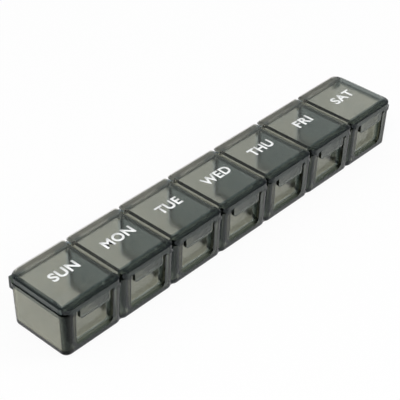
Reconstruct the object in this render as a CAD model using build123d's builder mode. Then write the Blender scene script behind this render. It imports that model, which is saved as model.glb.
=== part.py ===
from build123d import *
import os

# Weekly pill organizer: a moulded tray of seven cups, seven hinged lids and their hinge pins.
# Millimetres. The origin is on the table, under the middle of the tray. +X runs along the row from the
# first day to the last, -Y is the front with the lift tabs, and +Z is up.

# Row of cups
days = ["sun", "mon", "tue", "wed", "thu", "fri", "sat"]
pitch = 30.0  # from one cup to the next
rim_height = 22.0  # top of the tray's rim, where the lids seat
tray_depth = 33.0  # front to back over the cup walls, at the rim
side_lean = 0.25  # how far a cup's sides lean in, from the rim to the table
face_lean = 0.7  # how far its front and back lean in
wall = 1.6  # outer walls of the cups, and round the finger recesses
front_wall = 2.2  # beside the finger recesses
divider = 1.3  # wall between two cups, at the rim
floor = 1.6  # cup floors
corner_radius = 3.4  # upright outer corners of a cup
bottom_radius = 1.8  # outer edge under a cup
floor_radius = 1.6  # inside edge round a cup's floor

# Toes that close the grooves between the cups at the table
toe_width = 3.6
toe_height = 1.3
toe_setback = 1.6  # behind the cup's front and back faces at the table

# Rim flange, along the front and the two ends
flange_out = 0.3
flange_height = 1.6

# Finger recess in the front of each cup
recess_width = 19.8
recess_bottom = 3.5  # height of its ledge
recess_depth = 3.8  # behind the cup's front face at the rim
recess_radius = 2.6  # lower corners, seen from the front
recess_inner_radius = 1.1

# Lids
lid_gap = 1.0  # between neighbouring lids
lid_overhang = 0.7  # beyond the cup walls, front and back
lid_end_setback = 0.1  # inside the end walls' outer faces, at the two ends of the row
lid_seat_gap = 0.15  # under the closed lid's skirt
lid_height = 3.45  # from the skirt's lower edge to the top
lid_thickness = 1.2  # top panel
skirt_wall = 1.2
front_bar = 3.6  # solid front edge of the lid
bevel_drop = 0.95  # height of the bevels round the top
front_bevel = 4.0
side_bevel = 0.95  # beside a neighbouring lid
end_bevel = 1.9  # at the two ends of the row
back_bevel = 0.7
lid_radius = 2.8  # front corners beside a neighbouring lid
lid_back_radius = 1.2  # back corners beside a neighbouring lid
lid_end_radius = 5.0  # corners at the two ends of the row
panel_radius = 1.0  # flat top's corners beside a neighbouring lid
panel_end_radius = 3.6  # and at the two ends of the row
pocket_radius = 0.8

# Lift tab, set back from the lid's front face
tab_width = 16.2
tab_drop = 5.2  # below the lid's skirt
tab_thickness = 1.6
tab_setback = 0.35
tab_radius = 1.3

# Hinge
hinge_inset = 1.6  # axis in front of the lid's back edge
hinge_rise = 0.6  # axis above the rim
knuckle_radius = 1.5
neck_thickness = 1.6  # joins the knuckle to the lid's underside
lug_thickness = 2.8  # each lug between two lids carries the pins of both
lug_depth = 4.0  # below the axis
lug_corner_radius = 1.6  # outer corners of the end lugs, seen from above
end_lug_inset = 4.6  # inner face of an end lug, inside the end wall's outer face
end_seat_inset = 2.6  # outermost pin seats, inside the end wall's outer face
hinge_end_gap = 0.25  # between a knuckle and a lug
saddle_clearance = 0.35  # round the knuckle, in the back wall
skirt_relief = 0.5  # between a lug and the end of the lid's side skirt
pin_radius = 0.8
pin_running_clearance = 0.06  # in the knuckle
pin_seat_clearance = 0.02  # in the lugs
pin_end_clearance = 0.1
pin_web = 0.4  # left in the middle of a lug, between two pins

cut_beyond = 1.0  # how far a cut runs past the surface it opens

# Worked out from the sizes above
count = len(days)
cup_x = [(i - (count - 1) / 2) * pitch for i in range(count)]
cup_places = [(x, 0) for x in cup_x]
divider_x = [x + pitch / 2 for x in cup_x[:-1]]
cavity_width = pitch - divider
cup_width = cavity_width + 2 * wall
cavity_share = (rim_height - floor) / rim_height
front_y = -tray_depth / 2
back_y = tray_depth / 2
end_x = cup_x[-1] + cup_width / 2
lid_end_x = end_x - lid_end_setback
recess_y = front_y + recess_depth
lid_bottom = rim_height + lid_seat_gap
lid_top = lid_bottom + lid_height
lid_arris = lid_top - bevel_drop
lid_underside = lid_top - lid_thickness
lid_front_y = front_y - lid_overhang
lid_back_y = back_y + lid_overhang
hinge_y = lid_back_y - hinge_inset
hinge_z = rim_height + hinge_rise
lug_back_y = hinge_y + knuckle_radius

# Radii of the front and back corners on one side, seen from above
cavity_corners = (corner_radius - wall, corner_radius - wall)
lug_corners = (lug_corner_radius, lug_corner_radius)
lid_corners = (lid_radius, lid_back_radius)
lid_end_corners = (lid_end_radius, lid_end_radius)
panel_corners = (panel_radius, panel_radius)
panel_end_corners = (panel_end_radius, panel_end_radius)
pocket_corners = (pocket_radius, pocket_radius)

# Faces of the lugs on the left and right of each lid, and the ends of its pin's seats
lug_left = [-end_x + end_lug_inset] + [x + lug_thickness / 2 for x in divider_x]
lug_right = [x - lug_thickness / 2 for x in divider_x] + [end_x - end_lug_inset]
seat_left = [-end_x + end_seat_inset] + [x + pin_web / 2 for x in divider_x]
seat_right = [x - pin_web / 2 for x in divider_x] + [end_x - end_seat_inset]

os.makedirs("parts", exist_ok=True)


def outline(left, right, front, back, left_radii, right_radii):
    """A rectangle in plan. The radii on either side are those of its front and its back corner."""
    with BuildSketch(mode=Mode.PRIVATE) as shape:
        with Locations(((left + right) / 2, (front + back) / 2)):
            Rectangle(right - left, back - front)
        for side, (front_radius, back_radius) in [(0, left_radii), (-1, right_radii)]:
            fillet(shape.vertices().group_by(Axis.X)[side].sort_by(Axis.Y)[0], front_radius)
            fillet(shape.vertices().group_by(Axis.X)[side].sort_by(Axis.Y)[-1], back_radius)
    return shape.sketch


def upright(width, low, high, radius):
    """A rectangle seen from the front, standing between two heights, with its lower corners rounded."""
    with BuildSketch(mode=Mode.PRIVATE) as shape:
        with Locations((0, low)):
            Rectangle(width, high - low, align=(Align.CENTER, Align.MIN))
        fillet(shape.vertices().group_by(Axis.Y)[0], radius)
    return shape.sketch


def lug_section():
    """A lug seen from the end of the row: round about the hinge axis, with a foot into the back wall."""
    with BuildSketch(mode=Mode.PRIVATE) as shape:
        with Locations((hinge_y, hinge_z)):
            Circle(knuckle_radius)
        with Locations((back_y, hinge_z)):
            Rectangle(back_y - hinge_y + knuckle_radius, lug_depth, align=(Align.MAX, Align.MAX))
    return shape.sketch


# Outside of one cup, leaning in towards the table
with BuildPart() as cup:
    with BuildSketch():
        RectangleRounded(cup_width - 2 * side_lean, tray_depth - 2 * face_lean, corner_radius)
    with BuildSketch(Plane.XY.offset(rim_height)):
        RectangleRounded(cup_width, tray_depth, corner_radius)
    loft(ruled=True)
    fillet(cup.edges().group_by(Axis.Z)[0], bottom_radius)

# Space inside one cup
with BuildPart() as cavity:
    for height, share in [(floor, cavity_share), (rim_height, 0)]:
        with BuildSketch(Plane.XY.offset(height)):
            add(
                outline(
                    -cavity_width / 2 + side_lean * share,
                    cavity_width / 2 - side_lean * share,
                    front_y + front_wall + face_lean * share,
                    back_y - wall - face_lean * share,
                    cavity_corners,
                    cavity_corners,
                )
            )
    loft(ruled=True)
    fillet(cavity.edges().group_by(Axis.Z)[0], floor_radius)

# Space of one finger recess, open at the front and at the rim
with BuildPart() as recess:
    with BuildSketch(Plane.XZ.offset(-recess_y)):
        add(upright(recess_width, recess_bottom, rim_height + cut_beyond, recess_radius))
    extrude(amount=recess_depth + cut_beyond)
    recess_floor = recess.faces().sort_by(Axis.Y)[-1]
    fillet(recess_floor.edges().sort_by(Axis.Z)[:-1], recess_inner_radius)

# Wall round the back of one finger recess, inside the cup, from the middle of the front wall
with BuildPart() as recess_wall:
    with BuildSketch(Plane.XZ.offset(-recess_y - wall)):
        add(upright(recess_width + 2 * wall, recess_bottom - wall, rim_height, recess_radius + wall))
    extrude(amount=recess_depth + wall - (face_lean + front_wall) / 2)
    recess_wall_back = recess_wall.faces().sort_by(Axis.Y)[-1]
    fillet(recess_wall_back.edges().sort_by(Axis.Z)[:-1], recess_inner_radius + wall)

# Lugs at the two ends of the row, with rounded outer corners
with BuildPart() as end_lugs:
    with BuildSketch(Plane.YZ.offset(-end_x)):
        add(lug_section())
    extrude(amount=end_lug_inset)
    with BuildSketch(Plane.YZ.offset(lug_right[-1])):
        add(lug_section())
    extrude(amount=end_lug_inset)
    with BuildSketch():
        add(outline(-end_x, end_x, front_y, lug_back_y, lug_corners, lug_corners))
    extrude(amount=lid_top, mode=Mode.INTERSECT)

# Tray
with BuildPart() as tray:
    # Cups that run into each other, and the toes that close the grooves between them at the table
    with Locations(*cup_places):
        add(cup.part)
    with BuildSketch():
        with Locations(*[(x, 0) for x in divider_x]):
            Rectangle(toe_width, tray_depth - 2 * (face_lean + toe_setback))
    extrude(amount=toe_height)

    # Rim flange, flush with the back wall
    with BuildSketch(Plane.XY.offset(rim_height)):
        with Locations(*[(x, back_y) for x in cup_x]):
            RectangleRounded(
                cup_width + 2 * flange_out,
                tray_depth + flange_out,
                corner_radius,
                align=(Align.CENTER, Align.MAX),
            )
    extrude(amount=-flange_height)

    # Insides of the cups, with the finger recesses let into their fronts
    with Locations(*cup_places):
        add(cavity.part, mode=Mode.SUBTRACT)
    with Locations(*cup_places):
        add(recess_wall.part)
    with Locations(*cup_places):
        add(recess.part, mode=Mode.SUBTRACT)

    # Saddles for the lids' knuckles in the top of the back wall
    for left, right in zip(lug_left, lug_right):
        with Locations(((left + right) / 2, hinge_y, hinge_z)):
            Cylinder(
                knuckle_radius + saddle_clearance,
                right - left,
                rotation=(0, 90, 0),
                mode=Mode.SUBTRACT,
            )

    # Hinge lugs between the lids, and one at each end of the row
    for x in divider_x:
        with BuildSketch(Plane.YZ.offset(x - lug_thickness / 2)):
            add(lug_section())
        extrude(amount=lug_thickness)
    add(end_lugs.part)

    # Seats for the hinge pins
    for left, right in zip(seat_left, seat_right):
        with Locations(((left + right) / 2, hinge_y, hinge_z)):
            Cylinder(
                pin_radius + pin_seat_clearance,
                right - left,
                rotation=(0, 90, 0),
                mode=Mode.SUBTRACT,
            )
tray.part.label = "tray"
export_step(tray.part, "parts/tray.step")

# Lids, the two end ones reaching out to the end walls
for i, day in enumerate(days):
    left = -lid_end_x if i == 0 else cup_x[i] - pitch / 2 + lid_gap / 2
    right = lid_end_x if i == count - 1 else cup_x[i] + pitch / 2 - lid_gap / 2
    left_bevel = end_bevel if i == 0 else side_bevel
    right_bevel = end_bevel if i == count - 1 else side_bevel
    left_corners = lid_end_corners if i == 0 else lid_corners
    right_corners = lid_end_corners if i == count - 1 else lid_corners
    knuckle_left = lug_left[i] + hinge_end_gap
    knuckle_right = lug_right[i] - hinge_end_gap
    with BuildPart() as lid:
        # Block with bevels round its top
        with BuildSketch(Plane.XY.offset(lid_bottom)):
            add(outline(left, right, lid_front_y, lid_back_y, left_corners, right_corners))
        extrude(amount=lid_arris - lid_bottom)
        with BuildSketch(Plane.XY.offset(lid_arris)):
            add(outline(left, right, lid_front_y, lid_back_y, left_corners, right_corners))
        with BuildSketch(Plane.XY.offset(lid_top)):
            add(
                outline(
                    left + left_bevel,
                    right - right_bevel,
                    lid_front_y + front_bevel,
                    lid_back_y - back_bevel,
                    panel_end_corners if i == 0 else panel_corners,
                    panel_end_corners if i == count - 1 else panel_corners,
                )
            )
        loft(ruled=True)

        # Hollow underside, open at the back, with the skirts ending in front of the lugs
        with BuildSketch(Plane.XY.offset(lid_underside)):
            add(
                outline(
                    left + skirt_wall,
                    right - skirt_wall,
                    lid_front_y + front_bar,
                    lid_back_y + cut_beyond,
                    pocket_corners,
                    pocket_corners,
                )
            )
            with Locations(((left + right) / 2, lid_back_y + cut_beyond)):
                Rectangle(
                    right - left + 2 * cut_beyond,
                    cut_beyond + hinge_inset + knuckle_radius + skirt_relief,
                    align=(Align.CENTER, Align.MAX),
                )
        extrude(amount=lid_bottom - lid_underside, mode=Mode.SUBTRACT)

        # Hinge knuckle, joined to the underside
        with BuildSketch(Plane.YZ.offset(knuckle_left)):
            with Locations((hinge_y, hinge_z)):
                Circle(knuckle_radius)
                Rectangle(
                    neck_thickness,
                    lid_underside + lid_thickness / 2 - hinge_z,
                    align=(Align.CENTER, Align.MIN),
                )
        extrude(amount=knuckle_right - knuckle_left)
        with Locations(((knuckle_left + knuckle_right) / 2, hinge_y, hinge_z)):
            Cylinder(
                pin_radius + pin_running_clearance,
                knuckle_right - knuckle_left + 2 * cut_beyond,
                rotation=(0, 90, 0),
                mode=Mode.SUBTRACT,
            )

        # Lift tab
        with BuildSketch(Plane.XZ.offset(-lid_front_y - tab_setback)):
            with Locations((cup_x[i], 0)):
                add(upright(tab_width, lid_bottom - tab_drop, lid_arris - lid_thickness / 2, tab_radius))
        extrude(amount=-tab_thickness)
    lid.part.label = f"lid_{day}"
    export_step(lid.part, f"parts/lid_{day}.step")

# Hinge pins
for left, right, day in zip(seat_left, seat_right, days):
    with BuildPart() as hinge_pin:
        with Locations(((left + right) / 2, hinge_y, hinge_z)):
            Cylinder(pin_radius, right - left - 2 * pin_end_clearance, rotation=(0, 90, 0))
    hinge_pin.part.label = f"hinge_pin_{day}"
    export_step(hinge_pin.part, f"parts/hinge_pin_{day}.step")
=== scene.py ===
import bpy
from math import radians
from mathutils import Matrix, Vector


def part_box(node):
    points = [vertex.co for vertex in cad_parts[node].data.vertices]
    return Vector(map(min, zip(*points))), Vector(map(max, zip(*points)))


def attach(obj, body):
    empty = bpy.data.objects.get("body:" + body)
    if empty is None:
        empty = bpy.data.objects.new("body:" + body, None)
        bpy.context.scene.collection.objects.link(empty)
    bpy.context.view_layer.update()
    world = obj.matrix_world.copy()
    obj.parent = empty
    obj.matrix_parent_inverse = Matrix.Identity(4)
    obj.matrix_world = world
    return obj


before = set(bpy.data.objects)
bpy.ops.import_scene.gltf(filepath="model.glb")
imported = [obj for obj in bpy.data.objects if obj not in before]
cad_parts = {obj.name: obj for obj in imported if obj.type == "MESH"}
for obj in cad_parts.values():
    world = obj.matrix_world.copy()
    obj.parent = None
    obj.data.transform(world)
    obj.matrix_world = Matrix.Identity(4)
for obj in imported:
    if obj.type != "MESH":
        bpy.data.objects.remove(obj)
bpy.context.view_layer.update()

MM = 0.001
DAYS = ["sun", "mon", "tue", "wed", "thu", "fri", "sat"]
PITCH = 30.0 * MM  # from one cup to the next
WHITE = (1.0, 1.0, 1.0, 1.0)

# Smoke-grey plastic
TRAY_LOSS = (290.0, 300.0, 375.0)  # light lost in a metre of wall, for red, green and blue
LID_LOSS = (235.0, 240.0, 290.0)
PIN_LOSS = (110.0, 114.0, 140.0)
LOSS_LIMIT = 0.8  # largest share of a colour that the absorption's tint takes away
TRAY_TINTS = ((0.905, 0.935, 0.96, 1.0), (0.945, 0.965, 0.97, 1.0))  # darker and lighter patches
LID_TINTS = ((0.79, 0.82, 0.845, 1.0), (0.825, 0.845, 0.855, 1.0))
TRAY_ROUGHNESS = (0.14, 0.22)  # glossier and duller patches
LID_ROUGHNESS = (0.10, 0.17)
PIN_ROUGHNESS = (0.12, 0.20)
CLEARNESS = 0.99  # share of light that goes through a surface, not into its haze
SMOKE_IOR = 1.5
SHEEN = (0.55, 0.62, 0.66, 1.0)  # strength of its reflections
RIPPLE_STRENGTH = 0.06
RIPPLE_HEIGHT = 0.2 * MM

# Noise: how fine and how detailed
TINT_NOISE = (90.0, 2.0)
ROUGHNESS_NOISE = (260.0, 2.0)
RIPPLE_NOISE = (420.0, 3.0)
INK_TINT_NOISE = (1800.0, 4.0)
INK_ROUGHNESS_NOISE = (3000.0, 2.0)
NOISE_RANGE = (0.3, 0.7)  # where nearly all noise values lie

# Painted shade on the tray: places where the see-through plastic looks dark are painted darker. Each pair is
# where a tint is full and where it has faded out.
# A reach is measured sideways from the middle of a cup.
# painted shade on the dividers, seen through the lids and walls
DIVIDER_PAINTED_SHADE = (0.62, 0.73, 0.88, 1.0)
DIVIDER_REACH = (14.2 * MM, 13.9 * MM)
DIVIDER_END_X = (100.0 * MM, 101.0 * MM)  # the end walls aren't dividers
WINDOW_PAINTED_SHADE = (0.78, 0.81, 0.83, 1.0)  # painted shade on the wall behind a finger recess
WINDOW_REACH = (9.7 * MM, 9.9 * MM)
WINDOW_Y = (-10.9 * MM, -10.7 * MM)
WINDOW_Z = (3.6 * MM, 3.2 * MM)
FOOT_PAINTED_SHADE = (0.36, 0.43, 0.45, 1.0)  # painted shade on the front wall below the ledge of a finger recess
FOOT_Y = (-14.6 * MM, -14.0 * MM)
FOOT_Z = (2.2 * MM, 3.0 * MM)
THICK_PLACES_PAINTED_SHADE = (0.20, 0.25, 0.26, 1.0)  # painted shade on the corners, sides of the recesses, rim flange and end lugs, where the plastic is seen through at length
CORNER_REACH = (12.8 * MM, 12.2 * MM)
CORNER_Y = (-13.7 * MM, -13.1 * MM)
RECESS_REACH = (11.6 * MM, 11.8 * MM)
RECESS_BACK_Y = (-13.0 * MM, -12.8 * MM)
RECESS_FRONT_Y = (-16.1 * MM, -16.4 * MM)
RECESS_TOP_Z = (20.5 * MM, 21.5 * MM)
FLANGE_END_X = (105.5 * MM, 105.3 * MM)
FLANGE_FRONT_Y = (-16.2 * MM, -16.0 * MM)
FLANGE_Z = (20.45 * MM, 20.35 * MM)
END_LUG_X = (102.0 * MM, 101.6 * MM)
END_LUG_Y = (13.6 * MM, 13.2 * MM)
END_LUG_Z = (18.8 * MM, 18.4 * MM)
END_CORNER_PAINTED_SHADE = (0.07, 0.09, 0.10, 1.0)  # painted shade on the front corners at the two ends of the row
# painted shade in the reflections at these corners, which are made fainter
END_CORNER_REFLECTION_SHADE = (0.12, 0.14, 0.15, 1.0)
END_CORNER_X = (102.2 * MM, 101.4 * MM)

# Painted shade on the lids
# painted shade on the tab, which hangs in front of its recess
TAB_PAINTED_SHADE = (0.60, 0.63, 0.645, 1.0)
SKIRT_Z = (22.1 * MM, 22.0 * MM)  # the tab hangs below
EDGE_PAINTED_SHADE = (0.22, 0.27, 0.285, 1.0)  # painted shade on the front bar, and on the tab's sides and lower edge
FRONT_BAR_Y = (-13.4 * MM, -13.1 * MM)
TAB_SIDE_REACH = (8.05 * MM, 7.9 * MM)
TAB_BOTTOM_Z = (17.0 * MM, 17.1 * MM)
FIRST_END_PAINTED_SHADE = (0.15, 0.18, 0.19, 1.0)  # painted shade on the outer end of the first lid
FIRST_END_X = (-104.1 * MM, -103.9 * MM)
LAST_END_PAINTED_SHADE = (0.45, 0.50, 0.52, 1.0)  # lighter painted shade on the outer end of the last lid
LAST_END_X = (104.1 * MM, 103.9 * MM)

# Painted light on the back edge of the lids, which is also matt
LID_BACK_Y = (14.5 * MM, 10.5 * MM)
LID_BACK_ROUGHNESS = 0.4

# Legends on the lids
CAP_HEIGHT = 5.5 * MM
LEGEND_WIDTH = {"sun": 14.1, "mon": 16.5, "tue": 13.0, "wed": 16.2, "thu": 14.2, "fri": 10.2, "sat": 13.8}
LEGEND_BOLDNESS = 0.03  # added round each stroke, in heights of the font
LEGEND_SPACING = 1.07
LEGEND_SHIFT = 0.4 * MM  # to the right of the cup's middle
LEGEND_BASE = -1.2 * MM  # baseline, from the middle of the tray's depth
INK_THICKNESS = 0.04 * MM
INK_TINTS = ((0.93, 0.94, 0.94, 1.0), (0.84, 0.86, 0.86, 1.0))
INK_ROUGHNESS = (0.4, 0.6)

# Studio, in metres
FLOOR_SIZE = 6.0
FLOOR_DROP = 0.2 * MM  # below the tray's underside
FLOOR_COLOUR = (0.88, 0.88, 0.88, 1.0)
FLOOR_ROUGHNESS = 0.9
FLOOR_GLOW = 0.9  # share of the floor that is plain white to the eye
SKY_LIGHT = 0.55
SKY_HIGH = (0.40, 0.43, 0.45, 1.0)  # what shiny faces mirror from overhead
SKY_FADE = (0.2, 0.55)  # from the white of the horizon to overhead, as the sine of the height
KEY_LAMP = ((-0.9, -0.5, 1.3), 0.7, 14.0)  # place, size and power
FILL_LAMP = ((0.9, -0.9, 0.9), 0.8, 6.0)

# Camera of the photograph
CAMERA_PLACE = (-0.34273, -0.29793, 0.35251)
CAMERA_AZIMUTH = -48.03
CAMERA_ELEVATION = 36.78
CAMERA_ROLL = 1.216
CAMERA_LENS = 115.27
SENSOR_WIDTH = 36.0
NEAREST_SEEN = 0.01


class ShaderTree:
    """Adds nodes to the node tree of a material or of the world."""

    def __init__(self, tree):
        self.nodes = tree.nodes
        self.links = tree.links

    def feed(self, value, socket):
        """Feeds an input from another node, or with a fixed number or colour."""
        if isinstance(value, bpy.types.NodeSocket):
            self.links.new(value, socket)
        else:
            socket.default_value = value

    def place(self, kind):
        return self.nodes.new("ShaderNodeTexCoord").outputs[kind]

    def axes(self, place):
        node = self.nodes.new("ShaderNodeSeparateXYZ")
        self.links.new(place, node.inputs["Vector"])
        return node.outputs["X"], node.outputs["Y"], node.outputs["Z"]

    def noise(self, place, scale, detail):
        node = self.nodes.new("ShaderNodeTexNoise")
        node.inputs["Scale"].default_value = scale
        node.inputs["Detail"].default_value = detail
        self.links.new(place, node.inputs["Vector"])
        return node.outputs["Fac"]

    def ramp(self, value, from_range, to_range):
        """Maps a value from one range to another, and no further."""
        node = self.nodes.new("ShaderNodeMapRange")
        node.inputs["From Min"].default_value = from_range[0]
        node.inputs["From Max"].default_value = from_range[1]
        node.inputs["To Min"].default_value = to_range[0]
        node.inputs["To Max"].default_value = to_range[1]
        self.links.new(value, node.inputs["Value"])
        return node.outputs["Result"]

    def patches(self, place, noise, to_range):
        """Uneven values, spread over a range."""
        return self.ramp(self.noise(place, *noise), NOISE_RANGE, to_range)

    def fade(self, value, reach):
        """One up to the start of a reach, falling to nought at its end."""
        return self.ramp(value, reach, (1.0, 0.0))

    def math(self, operation, first, second):
        node = self.nodes.new("ShaderNodeMath")
        node.operation = operation
        self.feed(first, node.inputs[0])
        self.feed(second, node.inputs[1])
        return node.outputs["Value"]

    def overlap(self, *masks):
        """Where all the masks meet."""
        product = masks[0]
        for mask in masks[1:]:
            product = self.math("MULTIPLY", product, mask)
        return product

    def either(self, *masks):
        """Where any of the masks is."""
        largest = masks[0]
        for mask in masks[1:]:
            largest = self.math("MAXIMUM", largest, mask)
        return largest

    def mix(self, factor, first, second):
        """Mixes two colours."""
        node = self.nodes.new("ShaderNodeMix")
        node.data_type = "RGBA"
        self.feed(factor, node.inputs["Factor"])
        self.feed(first, node.inputs["A"])
        self.feed(second, node.inputs["B"])
        return node.outputs["Result"]

    def seen_share(self, share):
        """A share of the rays that show a thing to the eye: straight on, mirrored or through plastic."""
        rays = self.nodes.new("ShaderNodeLightPath").outputs
        seen = self.either(rays["Is Camera Ray"], rays["Is Transmission Ray"], rays["Is Glossy Ray"])
        return self.math("MULTIPLY", seen, share)

    def blend(self, factor, first, second, target):
        """Blends two shaders into a target."""
        node = self.nodes.new("ShaderNodeMixShader")
        self.links.new(factor, node.inputs["Fac"])
        self.links.new(first, node.inputs[1])
        self.links.new(second, node.inputs[2])
        self.links.new(node.outputs["Shader"], target)

    def from_cup(self, x):
        """Distance sideways from the middle of the nearest cup."""
        return self.math("PINGPONG", x, PITCH / 2)

    def from_centre(self, x):
        """Distance sideways from the middle of the row."""
        return self.math("ABSOLUTE", x, 0.0)


def new_material(name):
    material = bpy.data.materials.new(name)
    material.use_nodes = True
    tree = ShaderTree(material.node_tree)
    return material, tree, tree.nodes["Principled BSDF"]


def end_corner_shade_mask(tree, x, y):
    """Front corners at the two ends of the row, where shade is painted into the colour and the reflections.
    """
    return tree.overlap(tree.fade(tree.from_centre(x), END_CORNER_X), tree.fade(y, CORNER_Y))


def paint_tray_shade(tree, colour, x, y, z):
    """Painted shade on the dividers, the walls behind the recesses, the foot, the thick places and the end
    corners.
    """
    from_cup = tree.from_cup(x)
    from_centre = tree.from_centre(x)
    divider = tree.overlap(tree.fade(from_cup, DIVIDER_REACH), tree.fade(from_centre, DIVIDER_END_X))
    window = tree.overlap(
        tree.fade(from_cup, WINDOW_REACH),
        tree.fade(y, WINDOW_Y),
        tree.fade(z, WINDOW_Z),
    )
    foot = tree.overlap(tree.fade(y, FOOT_Y), tree.fade(z, FOOT_Z))
    corner = tree.overlap(tree.fade(from_cup, CORNER_REACH), tree.fade(y, CORNER_Y))
    recess = tree.overlap(
        tree.fade(from_cup, RECESS_REACH),
        tree.fade(y, RECESS_BACK_Y),
        tree.fade(y, RECESS_FRONT_Y),
        tree.fade(z, RECESS_TOP_Z),
    )
    outer_edge = tree.either(tree.fade(from_centre, FLANGE_END_X), tree.fade(y, FLANGE_FRONT_Y))
    flange = tree.overlap(outer_edge, tree.fade(z, FLANGE_Z))
    end_lug = tree.overlap(
        tree.fade(from_centre, END_LUG_X),
        tree.fade(y, END_LUG_Y),
        tree.fade(z, END_LUG_Z),
    )
    # painted shade, mixed into the plastic's own colour
    colour = tree.mix(divider, colour, DIVIDER_PAINTED_SHADE)
    colour = tree.mix(window, colour, WINDOW_PAINTED_SHADE)
    colour = tree.mix(foot, colour, FOOT_PAINTED_SHADE)
    colour = tree.mix(tree.either(corner, recess, flange, end_lug), colour, THICK_PLACES_PAINTED_SHADE)
    return tree.mix(end_corner_shade_mask(tree, x, y), colour, END_CORNER_PAINTED_SHADE)


def shade_tray_reflections(tree, x, y):
    """Painted shade in the reflections: fainter reflections at the end corners."""
    return tree.mix(end_corner_shade_mask(tree, x, y), SHEEN, END_CORNER_REFLECTION_SHADE)


def paint_lid_light_and_shade(tree, colour, x, y, z):
    """Painted shade on the tab with its edges, the front bar and the outer ends of the first and last lids.
    Painted light on the back edge.
    """
    skirt = tree.fade(z, SKIRT_Z)
    tab = tree.math("SUBTRACT", 1.0, skirt)
    outer_edge = tree.either(tree.fade(tree.from_cup(x), TAB_SIDE_REACH), tree.fade(z, TAB_BOTTOM_Z))
    tab_edge = tree.overlap(outer_edge, tab)
    front_bar = tree.overlap(tree.fade(y, FRONT_BAR_Y), skirt)
    colour = tree.mix(tab, colour, TAB_PAINTED_SHADE)
    # painted light: the back edge is mixed towards white
    colour = tree.mix(tree.fade(y, LID_BACK_Y), colour, WHITE)
    colour = tree.mix(tree.fade(x, FIRST_END_X), colour, FIRST_END_PAINTED_SHADE)
    colour = tree.mix(tree.fade(x, LAST_END_X), colour, LAST_END_PAINTED_SHADE)
    return tree.mix(tree.either(front_bar, tab_edge), colour, EDGE_PAINTED_SHADE)


def matt_lid(tree, roughness, y):
    """Rougher towards the back edge."""
    matt = tree.math("MULTIPLY", tree.fade(y, LID_BACK_Y), LID_BACK_ROUGHNESS)
    return tree.math("MAXIMUM", roughness, matt)


def smoke_plastic(name, loss, tints, roughness, tint=None, shade_reflections=None, matt=None):
    """See-through moulded plastic whose walls take up light, with the faint ripple of a moulding."""
    material, tree, shader = new_material(name)
    place = tree.place("Object")
    x, y, z = tree.axes(place)
    colour = tree.mix(tree.patches(place, TINT_NOISE, (0.0, 1.0)), *tints)
    if tint:
        colour = tint(tree, colour, x, y, z)
    finish = tree.patches(place, ROUGHNESS_NOISE, roughness)
    if matt:
        finish = matt(tree, finish, y)
    # reflection strength, with painted shade at the end corners of the tray
    sheen_with_painted_shade = shade_reflections(tree, x, y) if shade_reflections else SHEEN
    bump = tree.nodes.new("ShaderNodeBump")
    bump.inputs["Strength"].default_value = RIPPLE_STRENGTH
    bump.inputs["Distance"].default_value = RIPPLE_HEIGHT
    tree.links.new(tree.noise(place, *RIPPLE_NOISE), bump.inputs["Height"])
    tree.feed(colour, shader.inputs["Base Color"])
    tree.feed(finish, shader.inputs["Roughness"])
    tree.feed(sheen_with_painted_shade, shader.inputs["Specular Tint"])
    tree.feed(bump.outputs["Normal"], shader.inputs["Normal"])
    shader.inputs["Transmission Weight"].default_value = CLEARNESS
    shader.inputs["IOR"].default_value = SMOKE_IOR
    absorb = tree.nodes.new("ShaderNodeVolumeAbsorption")
    density = max(loss) / LOSS_LIMIT
    absorb.inputs["Density"].default_value = density
    absorb.inputs["Color"].default_value = tuple(1 - part / density for part in loss) + (1.0,)
    tree.links.new(absorb.outputs["Volume"], tree.nodes["Material Output"].inputs["Volume"])
    return material


def print_ink(name):
    """White printed ink, a little uneven."""
    material, tree, shader = new_material(name)
    place = tree.place("Object")
    colour = tree.mix(tree.patches(place, INK_TINT_NOISE, (0.0, 1.0)), *INK_TINTS)
    tree.links.new(colour, shader.inputs["Base Color"])
    finish = tree.patches(place, INK_ROUGHNESS_NOISE, INK_ROUGHNESS)
    tree.links.new(finish, shader.inputs["Roughness"])
    return material


def legend(day, ink):
    """Day legend, printed on its lid's top panel."""
    name = f"legend_{day}"
    curve = bpy.data.curves.new(name, "FONT")
    curve.body = day.upper()
    curve.size = 1.0
    curve.offset = LEGEND_BOLDNESS
    curve.space_character = LEGEND_SPACING
    text = bpy.data.objects.new(name, curve)
    bpy.context.scene.collection.objects.link(text)
    bpy.context.view_layer.update()
    mesh = bpy.data.meshes.new_from_object(text)
    bpy.data.objects.remove(text)
    left = min(v.co.x for v in mesh.vertices)
    right = max(v.co.x for v in mesh.vertices)
    low = min(v.co.y for v in mesh.vertices)
    high = max(v.co.y for v in mesh.vertices)
    middle = (DAYS.index(day) - (len(DAYS) - 1) / 2) * PITCH + LEGEND_SHIFT
    lid_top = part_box(f"lid_{day}")[1][2]
    for v in mesh.vertices:
        v.co.x = middle + (v.co.x - (left + right) / 2) / (right - left) * LEGEND_WIDTH[day] * MM
        v.co.y = LEGEND_BASE + (v.co.y - low) / (high - low) * CAP_HEIGHT
        v.co.z = lid_top
    mesh.materials.append(ink)
    piece = bpy.data.objects.new(name, mesh)
    bpy.context.scene.collection.objects.link(piece)
    thick = piece.modifiers.new("ink", "SOLIDIFY")
    thick.thickness = INK_THICKNESS
    thick.offset = 1.0  # all of it above the lid
    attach(piece, f"{day}_lid_body")


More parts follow.
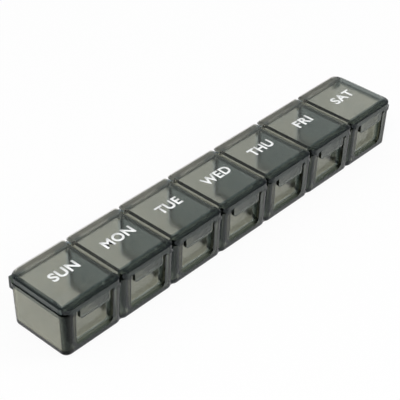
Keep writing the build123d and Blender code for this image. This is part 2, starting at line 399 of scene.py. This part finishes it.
def white_floor():
    """Floor that is white to the eye, with the object's shadow left on it."""
    bpy.ops.mesh.primitive_plane_add(size=FLOOR_SIZE, location=(0, 0, -FLOOR_DROP))
    floor = bpy.context.object
    floor.name = "floor"
    material, tree, shader = new_material("floor_white")
    shader.inputs["Base Color"].default_value = FLOOR_COLOUR
    shader.inputs["Roughness"].default_value = FLOOR_ROUGHNESS
    shader.inputs["Specular IOR Level"].default_value = 0.0
    glow = tree.nodes.new("ShaderNodeEmission")
    tree.blend(
        tree.seen_share(FLOOR_GLOW),
        shader.outputs["BSDF"],
        glow.outputs["Emission"],
        tree.nodes["Material Output"].inputs["Surface"],
    )
    floor.data.materials.append(material)


def studio_world():
    """Flat light, with a sky that looks white round the horizon and greyer overhead."""
    world = bpy.data.worlds.new("studio")
    bpy.context.scene.world = world
    world.use_nodes = True
    tree = ShaderTree(world.node_tree)
    light = tree.nodes["Background"]
    light.inputs["Color"].default_value = WHITE
    light.inputs["Strength"].default_value = SKY_LIGHT
    sky = tree.nodes.new("ShaderNodeBackground")
    height = tree.axes(tree.place("Generated"))[2]
    overhead = tree.ramp(height, SKY_FADE, (0.0, 1.0))
    tree.links.new(tree.mix(overhead, WHITE, SKY_HIGH), sky.inputs["Color"])
    tree.blend(
        tree.seen_share(1.0),
        light.outputs["Background"],
        sky.outputs["Background"],
        tree.nodes["World Output"].inputs["Surface"],
    )


def softbox(name, place, size, power):
    """Square lamp that faces the object."""
    lamp = bpy.data.lights.new(name, "AREA")
    lamp.size = size
    lamp.energy = power
    box = bpy.data.objects.new(name, lamp)
    box.location = place
    box.rotation_euler = (-Vector(place)).to_track_quat("-Z", "Y").to_euler()
    bpy.context.scene.collection.objects.link(box)


def photo_camera():
    camera = bpy.data.cameras.new("camera")
    camera.lens = CAMERA_LENS
    camera.sensor_width = SENSOR_WIDTH
    camera.clip_start = NEAREST_SEEN
    view = bpy.data.objects.new("camera", camera)
    azimuth = Matrix.Rotation(radians(CAMERA_AZIMUTH), 4, "Z")
    tilt = Matrix.Rotation(radians(90 - CAMERA_ELEVATION), 4, "X")
    roll = Matrix.Rotation(radians(CAMERA_ROLL), 4, "Z")
    view.matrix_world = Matrix.Translation(CAMERA_PLACE) @ azimuth @ tilt @ roll
    bpy.context.scene.collection.objects.link(view)
    bpy.context.scene.camera = view


plastics = {
    "tray": smoke_plastic("tray_plastic", TRAY_LOSS, TRAY_TINTS, TRAY_ROUGHNESS, paint_tray_shade, shade_reflections=shade_tray_reflections),
    "lid": smoke_plastic("lid_plastic", LID_LOSS, LID_TINTS, LID_ROUGHNESS, paint_lid_light_and_shade, matt=matt_lid),
    "hinge": smoke_plastic("pin_plastic", PIN_LOSS, TRAY_TINTS, PIN_ROUGHNESS),
}
for name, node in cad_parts.items():
    kind = name.split("_")[0]
    for slot in node.material_slots:
        slot.material = plastics[kind]

ink = print_ink("white_ink")
for day in DAYS:
    legend(day, ink)

white_floor()
studio_world()
softbox("key", *KEY_LAMP)
softbox("fill", *FILL_LAMP)
photo_camera()
bpy.context.scene.view_settings.view_transform = "Standard"
